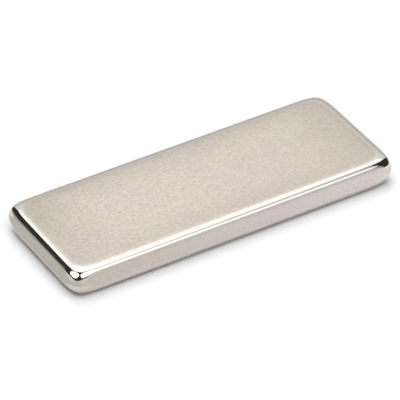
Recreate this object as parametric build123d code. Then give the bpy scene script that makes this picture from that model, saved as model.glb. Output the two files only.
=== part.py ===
from build123d import *
import os

# A sintered block magnet: one piece, pressed, ground flat, tumbled and plated all over.
# It lies on one of its two large faces, which are its poles.
# Millimetres. The origin is the middle of the bottom face, +X runs along the length and +Z is up.

# Driving dimensions
length = 25.0  # along X
width = 10.0  # along Y
thickness = 2.0  # along Z, from pole face to pole face
plan_corner_radius = 1.15  # the four upright corners, as seen from above
rim_radius = 0.55  # the worn edge all round each pole face, as tumbling leaves it

# A rounding takes at most this share of the wall it is cut from, so that a flat is left.
most_of_half_wall = 0.95


def corner_rounding():
    """Radius of the upright corners, within the shorter of the two plan sides."""
    return min(plan_corner_radius, most_of_half_wall * min(length, width) / 2)


def rim_rounding():
    """Radius of the rims, within half the thickness and inside the upright corners."""
    return min(rim_radius, most_of_half_wall * thickness / 2, most_of_half_wall * corner_rounding())


def block_blank():
    """The ground slab with its four upright corners rounded."""
    plan = RectangleRounded(length, width, corner_rounding())
    return extrude(plan, amount=thickness)


def tumbled_block():
    """The slab with the rim of each pole face worn round, the two rims blending into the corners."""
    blank = block_blank()
    pole_faces = blank.faces().filter_by(Axis.Z)
    rims = ShapeList(edge for face in pole_faces for edge in face.edges())
    return fillet(rims, radius=rim_rounding())


magnet_block = tumbled_block()

os.makedirs("parts", exist_ok=True)
export_step(magnet_block, "parts/magnet_block.step")

print("magnet_block volume mm3:", round(magnet_block.volume, 3))
print("magnet_block size mm:", magnet_block.bounding_box().size)
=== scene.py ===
import math

import bpy
from mathutils import Matrix, Vector


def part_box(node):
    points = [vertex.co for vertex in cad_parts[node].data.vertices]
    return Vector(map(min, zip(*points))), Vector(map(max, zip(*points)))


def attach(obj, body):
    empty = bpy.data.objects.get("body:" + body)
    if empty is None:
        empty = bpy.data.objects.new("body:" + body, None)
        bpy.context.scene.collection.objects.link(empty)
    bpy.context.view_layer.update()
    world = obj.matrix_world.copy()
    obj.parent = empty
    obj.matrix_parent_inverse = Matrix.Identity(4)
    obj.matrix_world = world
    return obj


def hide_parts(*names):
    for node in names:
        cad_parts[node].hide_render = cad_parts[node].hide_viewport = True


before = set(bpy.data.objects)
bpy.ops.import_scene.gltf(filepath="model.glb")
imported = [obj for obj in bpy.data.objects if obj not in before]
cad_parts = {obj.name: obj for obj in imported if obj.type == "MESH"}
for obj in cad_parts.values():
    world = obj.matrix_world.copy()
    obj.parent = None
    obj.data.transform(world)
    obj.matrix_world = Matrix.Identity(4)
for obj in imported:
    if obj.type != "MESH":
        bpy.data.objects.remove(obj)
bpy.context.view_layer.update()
blockLow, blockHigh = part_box("magnet_block")
blockSize = blockHigh - blockLow
blockCentre = (blockLow + blockHigh) / 2
mm = 0.001  # sizes below are in millimetres, the scene is in metres
print("stage: frame loaded, block in mm", [round(side / mm, 3) for side in blockSize])


# Helpers

def deselectAll():
    bpy.ops.object.select_all(action="DESELECT")


def hexToLinear(hexColour):
    channels = []
    for start in (0, 2, 4):
        value = int(hexColour.lstrip("#")[start:start + 2], 16) / 255
        channels.append(value / 12.92 if value <= 0.04045 else ((value + 0.055) / 1.055) ** 2.4)
    return (*channels, 1.0)


def addNode(tree, kind, settings=None, links=None, values=None):
    # settings are the node's own options, values fill sockets, links join other nodes' outputs to sockets
    node = tree.nodes.new(kind)
    for name, value in (settings or {}).items():
        setattr(node, name, value)
    for socket, value in (values or {}).items():
        node.inputs[socket].default_value = value
    for socket, output in (links or {}).items():
        tree.links.new(output, node.inputs[socket])
    return node


def newMaterial(name):
    material = bpy.data.materials.new(name)
    material.use_nodes = True
    material.node_tree.nodes.clear()
    return material, material.node_tree


def directionTo(azimuth, elevation):
    # azimuth turns from +X towards +Y, elevation is above the floor, both in degrees
    a, e = math.radians(azimuth), math.radians(elevation)
    return Vector((math.cos(a) * math.cos(e), math.sin(a) * math.cos(e), math.sin(e)))


# The magnet
# A slab with support loops near its rims, which a subdivision surface rounds as tumbling does:
# long soft rims across the pole faces, short ones down the sides, and corners worn the most.

magnetBlock = {
    "firstLoop": 1.46,  # mm in from the ends and long sides
    "secondLoop": 2.45,
    "topLoop": 0.64,  # mm down from the upper pole face
    "footLoop": 0.95,  # mm up from the lower one, whose rim is worn more
    "cornerWear": 0.33,  # mm that the eight corners are drawn in
    "cornerReach": 0.01,  # mm from a corner of the box, within which a point belongs to it
    "levels": 4,
}


def cutLoop(point, normal):
    bpy.ops.mesh.select_all(action="SELECT")
    bpy.ops.mesh.bisect(plane_co=point, plane_no=normal)


def selectCorners(mesh, reach):
    bpy.ops.mesh.select_all(action="DESELECT")
    bpy.ops.object.mode_set(mode="OBJECT")
    for vertex in mesh.vertices:
        away = [abs(abs(vertex.co[i] - blockCentre[i]) - blockSize[i] / 2) for i in range(3)]
        vertex.select = max(away) < reach
    bpy.ops.object.mode_set(mode="EDIT")


def buildMagnet(sizes):
    deselectAll()
    bpy.ops.mesh.primitive_cube_add(size=1, location=blockCentre, scale=blockSize)
    magnet = bpy.context.object
    magnet.name = "platedMagnet"
    magnet.data.name = "platedMagnet"
    bpy.ops.object.transform_apply(location=True, rotation=True, scale=True)
    bpy.ops.object.mode_set(mode="EDIT")
    bpy.ops.mesh.select_mode(type="VERT")
    for axis in (0, 1):
        for inset in (sizes["firstLoop"], sizes["secondLoop"]):
            for side in (-1, 1):
                point, normal = blockCentre.copy(), Vector((0, 0, 0))
                point[axis] += side * (blockSize[axis] / 2 - inset * mm)
                normal[axis] = 1
                cutLoop(point, normal)
    for height in (sizes["footLoop"] * mm, blockSize.z - sizes["topLoop"] * mm):
        cutLoop((blockCentre.x, blockCentre.y, blockLow.z + height), (0, 0, 1))
    selectCorners(magnet.data, sizes["cornerReach"] * mm)
    wear = 2 * sizes["cornerWear"] * mm
    shrink = (1 - wear / blockSize.x, 1 - wear / blockSize.y, 1)
    bpy.ops.transform.resize(value=shrink, center_override=blockCentre)
    bpy.ops.mesh.select_all(action="SELECT")
    bpy.ops.mesh.normals_make_consistent(inside=False)
    bpy.ops.object.mode_set(mode="OBJECT")
    tumbling = magnet.modifiers.new("tumbling", "SUBSURF")
    tumbling.levels = sizes["levels"]
    tumbling.render_levels = sizes["levels"]
    bpy.ops.object.modifier_apply(modifier="tumbling")
    bpy.ops.object.shade_smooth()
    print("stage: magnet modelled,", len(magnet.data.polygons), "faces")
    return magnet


# Its finish
# Electroplated nickel over sintered metal: a warm grey metal, satin where the block was ground and bright
# where tumbling rubbed it, on the rims and corners.

nickelPlating = {
    "warm": "#D7CFBF",  # the pole faces, in slow patches between these two
    "cool": "#D4C7C1",
    "sideShadedLeft": "#CCC5B9",  # the ends and long sides at the left end, darkened there as painted shade; they grow lighter towards the right end as painted light
    "sideLitRight": "#E3DAD8",
    "bright": "#D9D3CA",  # the rubbed rims
    "paintedShade": "#D8D8D8",  # painted shade, which leaves this share of the colour where it is deepest
    "faceShade": 0.48,  # how much painted shade the pole faces get right at their ends
    "faceShadeReach": 7,  # mm from the ends, over which that fades
    "sideReach": 2.0,  # how many times faster it fades from the long sides
    "cornerShade": 0.56,  # the painted shade that the far left corner of the face adds to that
    "cornerShadeStart": 3,  # mm from that corner, along both sides together, over which it fades
    "cornerShadeStop": 8,
    "endShade": 0.46,  # how much painted shade darkens the left end wall
    "endStart": 0,  # mm from that end, round the corner, over which that fades
    "endStop": 1,
    "dark": "#BDB5A8",  # the grains of the plating
    "light": "#EBE2D5",
    "leftGrain": 0.52,  # how much of those grains shows on the pole faces, at the left end
    "rightGrain": 0.36,
    "sideGrain": 0.24,  # the same on the ends and long sides
    "faceRoughness": 0.36,
    "sideRoughness": 0.58,
    "rimRoughness": 0.07,
    "rimStart": 0.42,  # mm from the outline, where the bright rim starts to turn satin
    "rimEnd": 0.85,
    "depthStart": 0.06,  # the same, in mm from the pole face, down the sides
    "depthEnd": 0.42,
    "footDepth": 0.35,  # mm further for the lower rim, which is worn more
    "cornerDepth": 0.36,  # mm further down at the corners, which are rubbed the most
    "cornerStart": 0.5,  # mm along the outline from the corner, over which that fades
    "cornerEnd": 1.7,
    "outlineSoftness": 2.0,  # mm, rounds the mask's corners
    "grain": 0.24,  # mm, the plating's fine grain, drawn coarser than it is so that it shows
    "grainDetail": 2,
    "grainSharpness": 0.6,
    "grainSpread": (0.3, 0.7),  # the part of the noise that goes from dark to light
    "patch": 1.8,  # mm, the slow cloudiness of the satin
    "patchDetail": 3,
    "patchSharpness": 0.55,
    "patchSpread": (0.36, 0.64),
    "grainHeight": 0.0012,  # mm
}


def nickelPlatingMaterial(look):
    material, tree = newMaterial("satinNickelPlating")
    place = addNode(tree, "ShaderNodeTexCoord").outputs["Object"]
    centred = addNode(
        tree, "ShaderNodeMapping", {"vector_type": "POINT"}, {"Vector": place}, {"Location": -blockCentre}
    ).outputs["Vector"]
    out = addNode(tree, "ShaderNodeSeparateXYZ", links={"Vector": centred}).outputs

    def distanceInside(coordinate, half):
        away = addNode(tree, "ShaderNodeMath", {"operation": "ABSOLUTE"}, {0: coordinate}).outputs[0]
        return addNode(tree, "ShaderNodeMath", {"operation": "SUBTRACT"}, {1: away}, {0: half}).outputs[0]

    fromEnd = distanceInside(out["X"], blockSize.x / 2)
    fromSide = distanceInside(out["Y"], blockSize.y / 2)
    fromFace = distanceInside(out["Z"], blockSize.z / 2)
    fromOutline = addNode(
        tree, "ShaderNodeMath", {"operation": "SMOOTH_MIN"}, {0: fromEnd, 1: fromSide},
        {2: look["outlineSoftness"] * mm},
    ).outputs[0]
    farWall = addNode(
        tree, "ShaderNodeMath", {"operation": "MAXIMUM"}, {0: fromEnd, 1: fromSide}
    ).outputs[0]

    def fades(distance, start, end):
        return addNode(
            tree, "ShaderNodeMapRange", {"interpolation_type": "SMOOTHSTEP"}, {"Value": distance},
            {"From Min": start * mm, "From Max": end * mm, "To Min": 1, "To Max": 0},
        ).outputs["Result"]

    acrossFace = fades(fromOutline, look["rimStart"], look["rimEnd"])
    nearCorner = fades(farWall, look["cornerStart"], look["cornerEnd"])
    deeper = addNode(
        tree, "ShaderNodeMath", {"operation": "MULTIPLY"}, {0: nearCorner}, {1: look["cornerDepth"] * mm}
    ).outputs[0]
    lowerHalf = addNode(
        tree, "ShaderNodeMath", {"operation": "LESS_THAN"}, {0: out["Z"]}, {1: 0}
    ).outputs[0]
    raised = addNode(
        tree, "ShaderNodeMath", {"operation": "MULTIPLY_ADD"}, {0: lowerHalf, 2: deeper},
        {1: look["footDepth"] * mm},
    ).outputs[0]
    depth = addNode(tree, "ShaderNodeMath", {"operation": "SUBTRACT"}, {0: fromFace, 1: raised}).outputs[0]
    downSide = fades(depth, look["depthStart"], look["depthEnd"])
    polish = addNode(
        tree, "ShaderNodeMath", {"operation": "MULTIPLY"}, {0: acrossFace, 1: downSide}
    ).outputs[0]

    grain = addNode(
        tree, "ShaderNodeTexNoise", {"noise_dimensions": "3D"}, {"Vector": centred},
        {"Scale": 1 / (look["grain"] * mm), "Detail": look["grainDetail"],
         "Roughness": look["grainSharpness"]},
    ).outputs["Fac"]
    patches = addNode(
        tree, "ShaderNodeTexNoise", {"noise_dimensions": "3D"}, {"Vector": centred},
        {"Scale": 1 / (look["patch"] * mm), "Detail": look["patchDetail"],
         "Roughness": look["patchSharpness"]},
    ).outputs["Fac"]
    lowPatch, highPatch = look["patchSpread"]
    cloud = addNode(
        tree, "ShaderNodeMapRange", {}, {"Value": patches}, {"From Min": lowPatch, "From Max": highPatch}
    ).outputs["Result"]
    clouded = addNode(
        tree, "ShaderNodeMix", {"data_type": "RGBA"}, {"Factor": cloud},
        {"A": hexToLinear(look["warm"]), "B": hexToLinear(look["cool"])},
    )
    alongBlock = addNode(
        tree, "ShaderNodeMapRange", {}, {"Value": out["X"]},
        {"From Min": -blockSize.x / 2, "From Max": blockSize.x / 2},
    ).outputs["Result"]
    # painted shade and light: the ends and long sides go from darker at the left end to lighter at the
    # right
    sideNickelShaded = addNode(
        tree, "ShaderNodeMix", {"data_type": "RGBA"}, {"Factor": alongBlock},
        {"A": hexToLinear(look["sideShadedLeft"]), "B": hexToLinear(look["sideLitRight"])},
    )
    plating = addNode(
        tree, "ShaderNodeMix", {"data_type": "RGBA"},
        {"Factor": acrossFace, "A": clouded.outputs["Result"], "B": sideNickelShaded.outputs["Result"]},
    )
    lowGrain, highGrain = look["grainSpread"]
    speck = addNode(
        tree, "ShaderNodeMapRange", {}, {"Value": grain}, {"From Min": lowGrain, "From Max": highGrain}
    ).outputs["Result"]
    specks = addNode(
        tree, "ShaderNodeMix", {"data_type": "RGBA"}, {"Factor": speck},
        {"A": hexToLinear(look["dark"]), "B": hexToLinear(look["light"])},
    )
    onSatin = addNode(tree, "ShaderNodeMath", {"operation": "SUBTRACT"}, {1: polish}, {0: 1}).outputs[0]
    grainShare = addNode(
        tree, "ShaderNodeMapRange", {}, {"Value": alongBlock},
        {"To Min": look["leftGrain"], "To Max": look["rightGrain"]},
    ).outputs["Result"]
    satinShare = addNode(
        tree, "ShaderNodeMix", {"data_type": "FLOAT"}, {"Factor": acrossFace, "A": grainShare},
        {"B": look["sideGrain"]},
    ).outputs["Result"]
    speckShare = addNode(
        tree, "ShaderNodeMath", {"operation": "MULTIPLY"}, {0: onSatin, 1: satinShare}
    ).outputs[0]
    specked = addNode(
        tree, "ShaderNodeMix", {"data_type": "RGBA"},
        {"Factor": speckShare, "A": plating.outputs["Result"], "B": specks.outputs["Result"]},
    )
    # painted shade: the pole faces grow darker towards their ends and long sides, and more so at the far
    # left corner
    stretched = addNode(
        tree, "ShaderNodeMath", {"operation": "MULTIPLY"}, {0: fromSide}, {1: look["sideReach"]}
    ).outputs[0]
    fromBorder = addNode(
        tree, "ShaderNodeMath", {"operation": "SMOOTH_MIN"}, {0: fromEnd, 1: stretched},
        {2: look["outlineSoftness"] * mm},
    ).outputs[0]
    fromLeftEnd = addNode(
        tree, "ShaderNodeMath", {"operation": "ADD"}, {0: out["X"]}, {1: blockSize.x / 2}
    ).outputs[0]
    fromFarSide = addNode(
        tree, "ShaderNodeMath", {"operation": "SUBTRACT"}, {1: out["Y"]}, {0: blockSize.y / 2}
    ).outputs[0]
    fromFarCorner = addNode(
        tree, "ShaderNodeMath", {"operation": "ADD"}, {0: fromLeftEnd, 1: fromFarSide}
    ).outputs[0]
    faceShaded = addNode(
        tree, "ShaderNodeMath", {"operation": "MULTIPLY_ADD"},
        {0: fades(fromFarCorner, look["cornerShadeStart"], look["cornerShadeStop"]),
         2: fades(fromBorder, 0, look["faceShadeReach"])},
        {1: look["cornerShade"]},
    ).outputs[0]
    # painted shade: the pole faces by the mask above, the left end wall near that end
    shaded = addNode(
        tree, "ShaderNodeMix", {"data_type": "FLOAT"},
        {"Factor": acrossFace, "A": faceShaded,
         "B": fades(fromLeftEnd, look["endStart"], look["endStop"])},
    ).outputs["Result"]
    shadeShare = addNode(
        tree, "ShaderNodeMapRange", {}, {"Value": acrossFace},
        {"To Min": look["faceShade"], "To Max": look["endShade"]},
    ).outputs["Result"]
    shade = addNode(tree, "ShaderNodeMath", {"operation": "MULTIPLY"}, {0: shaded, 1: shadeShare}).outputs[0]
    # multiplies the painted shade into the satin colour
    satinColour = addNode(
        tree, "ShaderNodeMix", {"data_type": "RGBA", "blend_type": "MULTIPLY"},
        {"Factor": shade, "A": specked.outputs["Result"]}, {"B": hexToLinear(look["paintedShade"])},
    )
    colour = addNode(
        tree, "ShaderNodeMix", {"data_type": "RGBA"},
        {"Factor": polish, "A": satinColour.outputs["Result"]}, {"B": hexToLinear(look["bright"])},
    )
    satin = addNode(
        tree, "ShaderNodeMapRange", {}, {"Value": acrossFace},
        {"To Min": look["faceRoughness"], "To Max": look["sideRoughness"]},
    ).outputs["Result"]
    roughness = addNode(
        tree, "ShaderNodeMix", {"data_type": "FLOAT"}, {"Factor": polish, "A": satin},
        {"B": look["rimRoughness"]},
    )
    bump = addNode(
        tree, "ShaderNodeBump", {}, {"Height": grain, "Strength": onSatin},
        {"Distance": look["grainHeight"] * mm},
    )
    shader = addNode(
        tree, "ShaderNodeBsdfPrincipled", {},
        {"Base Color": colour.outputs["Result"], "Roughness": roughness.outputs["Result"],
         "Normal": bump.outputs["Normal"]},
        {"Metallic": 1},
    )
    addNode(tree, "ShaderNodeOutputMaterial", links={"Surface": shader.outputs["BSDF"]})
    print("stage: material", material.name)
    return material


# The studio
# A white floor in a dark room with white light panels, so that the bright rims mirror white and dark bands.
# A panel's corners are directions from the block: azimuth from +X towards +Y, and elevation, in degrees.
# Its level is its brightness, where 1 is white.

studio = {
    "floorSide": 4.0,  # m
    "floorColour": "#F3F4F7",
    "floorGap": 0.005,  # mm under the block, so that the two faces don't flicker
    "floorLight": 0.79,  # what the lamp gives the floor, as a share of white
    "floorLampSide": 0.33,  # m
    "floorLampPlace": (-0.055, 0.025),  # m
    "roomRadius": 0.6,  # m
    "roomSegments": 48,
    "roomRings": 24,
    "roomColour": "#383631",
    "worldColour": "#FFFFFF",
    "panelDistance": 0.35,  # m
}

panels = {
    "overheadPanel": {
        "level": 1.67,
        "corners": [(31, 38.5), (84.5, 38), (90, 44), (107, 55), (114, 58), (109, 63), (103, 67),
                    (95, 70), (77, 80), (53, 81), (33, 77), (31, 71), (32, 66), (34, 62), (36, 58),
                    (30, 51)],
    },
    "frontRightPanel": {
        "level": 1.7,
        "corners": [(-8, 79), (-8, 73), (-10, 69), (-12, 67), (-15, 65), (-17, 62), (-19, 59),
                    (-23, 54), (-32, 48), (-55, 46), (-66, 40), (-80, 26), (-88, 17), (-95, 13),
                    (-102, 14), (-109, 20), (-112, 32), (-117, 44), (-120, 56), (-119, 71), (-82, 81),
                    (-13, 85)],
    },
    "upperSeamCard": {
        "level": 1.14,
        "tint": "#F0F5FB",
        "corners": [(33, 77), (31, 71), (32, 66), (9, 67), (-13, 66), (-9, 71), (-8, 77)],
    },
    "lowerSeamCard": {
        "level": 0.93,
        "tint": "#F0F5FB",
        "corners": [(32, 66), (34, 62), (36, 58), (9, 61), (-19, 59), (-17, 62), (-13, 66), (9, 67)],
    },
    "frontLeftPanel": {
        "level": 1.7,
        "lightsFloor": False,  # keeps the shadow at the left end deep
        "corners": [(156, 18), (170, 14), (180, 12.5), (-170, 13.5), (-160, 17), (-150, 23), (-139, 32),
                    (-134, 44), (-131, 56), (-146, 71), (180, 79), (127, 76), (116, 72), (122, 68),
                    (125, 63), (124, 57), (131, 49), (146, 36), (151, 27)],
    },
    "backCard": {"level": 0.67, "tint": "#FFFAF6", "corners": [(28, -1), (90, -1), (89, 22), (29, 22)]},
    "upperBackCard": {"level": 0.92, "corners": [(29, 22), (89, 22), (88, 37.5), (30, 37.5)]},
    "frontRightCard": {
        "level": 0.61,
        "corners": [(-46, -1), (-45, 31), (-55, 45), (-66, 39), (-80, 25), (-86, 16), (-86, -1)],
    },
    "backLeftCard": {"level": 0.34, "corners": [(98, -1), (104, 12), (118, 20), (134, 18), (140, -1)]},
}


def buildFloor(look):
    deselectAll()
    level = blockLow.z - look["floorGap"] * mm
    bpy.ops.mesh.primitive_plane_add(size=look["floorSide"], location=(0, 0, level))
    floor = bpy.context.object
    floor.name = "studioFloor"
    material, tree = newMaterial("whitePaperSweep")  # matt paper, with soft shadows and no shine
    paper = addNode(tree, "ShaderNodeBsdfDiffuse", values={"Color": hexToLinear(look["floorColour"])})
    addNode(tree, "ShaderNodeOutputMaterial", links={"Surface": paper.outputs[0]})
    floor.data.materials.append(material)


def buildFloorLamp(look):
    # lights the floor from above, with the panels; the metal doesn't mirror it
    height = look["panelDistance"]
    place = Vector((*look["floorLampPlace"], height))
    deselectAll()
    bpy.ops.object.light_add(type="AREA", location=place)
    lamp = bpy.context.object
    lamp.name = "floorLamp"
    lamp.data.shape = "SQUARE"
    lamp.data.size = look["floorLampSide"]
    lamp.data.energy = look["floorLight"] * (math.pi * place.length_squared / height) ** 2
    lamp.visible_camera = False
    lamp.visible_glossy = False


def glowMaterial(name, colour, strength):
    material, tree = newMaterial(name)
    glow = addNode(tree, "ShaderNodeEmission", values={"Color": colour, "Strength": strength})
    addNode(tree, "ShaderNodeOutputMaterial", links={"Surface": glow.outputs[0]})
    return material


def buildRoom(look):
    deselectAll()
    bpy.ops.mesh.primitive_uv_sphere_add(
        segments=look["roomSegments"], ring_count=look["roomRings"], radius=look["roomRadius"]
    )
    room = bpy.context.object
    room.name = "darkRoom"
    bpy.ops.object.mode_set(mode="EDIT")
    bpy.ops.mesh.select_all(action="SELECT")
    bpy.ops.mesh.bisect(plane_co=(0, 0, 0), plane_no=(0, 0, 1), clear_inner=True)
    bpy.ops.mesh.select_all(action="SELECT")
    bpy.ops.mesh.flip_normals()
    bpy.ops.object.mode_set(mode="OBJECT")
    room.data.materials.append(glowMaterial("dimRoomCloth", hexToLinear(look["roomColour"]), 1))
    room.visible_camera = False


def addPanel(name, panel, distance):
    deselectAll()
    bpy.ops.mesh.primitive_circle_add(vertices=len(panel["corners"]), radius=distance, fill_type="NGON")
    card = bpy.context.object
    card.name = name
    for vertex, corner in zip(card.data.vertices, panel["corners"]):
        vertex.co = blockCentre + distance * directionTo(*corner)
    tint = hexToLinear(panel.get("tint", "#FFFFFF"))
    card.data.materials.append(glowMaterial(name + "Cloth", tint, panel["level"]))
    card.visible_camera = False
    card.visible_diffuse = panel.get("lightsFloor", True)
    card.visible_shadow = False  # the floor lamp shines through it


def buildWorld(look):
    world = bpy.data.worlds.new("studioWorld")
    bpy.context.scene.world = world
    world.use_nodes = True
    tree = world.node_tree
    tree.nodes.clear()
    beyond = addNode(
        tree, "ShaderNodeBackground", values={"Color": hexToLinear(look["worldColour"]), "Strength": 1}
    )
    addNode(tree, "ShaderNodeOutputWorld", links={"Surface": beyond.outputs[0]})


# The camera, placed by the outline of the block

camera = {
    "azimuth": -28.4557,  # round the block, 0 looks along +Y
    "elevation": 35.7059,
    "roll": -2.5486,
    "distance": 272.57,  # mm
    "pixelsPerMm": 14.7133,  # at that distance, in a frame 400 wide
    "frameWidth": 400,
    "offsetX": 1.5072,  # pixels from the frame's middle to the block's centre, before the roll
    "offsetY": -6.8332,  # the same, downwards
    "sensorWidth": 36,  # mm
    "clipStart": 0.01,  # m
}


def buildCamera(place):
    a, e, roll = (math.radians(place[key]) for key in ("azimuth", "elevation", "roll"))
    back = Vector((math.sin(a) * math.cos(e), -math.cos(a) * math.cos(e), math.sin(e)))
    right = Vector((math.cos(a), math.sin(a), 0))
    up = back.cross(right)
    target = blockCentre - (right * place["offsetX"] - up * place["offsetY"]) * mm / place["pixelsPerMm"]
    turnedRight = math.cos(roll) * right + math.sin(roll) * up
    turnedUp = -math.sin(roll) * right + math.cos(roll) * up
    deselectAll()
    bpy.ops.object.camera_add(location=target + back * place["distance"] * mm)
    view = bpy.context.object
    view.name = "studioCamera"
    axes = [turnedRight, turnedUp, back]
    view.rotation_mode = "QUATERNION"
    view.rotation_quaternion = Matrix(axes).transposed().to_quaternion()
    view.data.sensor_width = place["sensorWidth"]
    view.data.lens = view.data.sensor_width * place["pixelsPerMm"] * place["distance"] / place["frameWidth"]
    view.data.clip_start = place["clipStart"]
    bpy.context.scene.camera = view
    print("stage: camera, lens", round(view.data.lens, 1))


# Put together

magnet = buildMagnet(magnetBlock)
magnet.data.materials.append(nickelPlatingMaterial(nickelPlating))
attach(magnet, "root")
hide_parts("magnet_block")

buildFloor(studio)
buildFloorLamp(studio)
buildRoom(studio)
for name, panel in panels.items():
    addPanel(name, panel, studio["panelDistance"])
buildWorld(studio)
buildCamera(camera)
bpy.context.scene.view_settings.view_transform = "Standard"
print("stage: studio built")
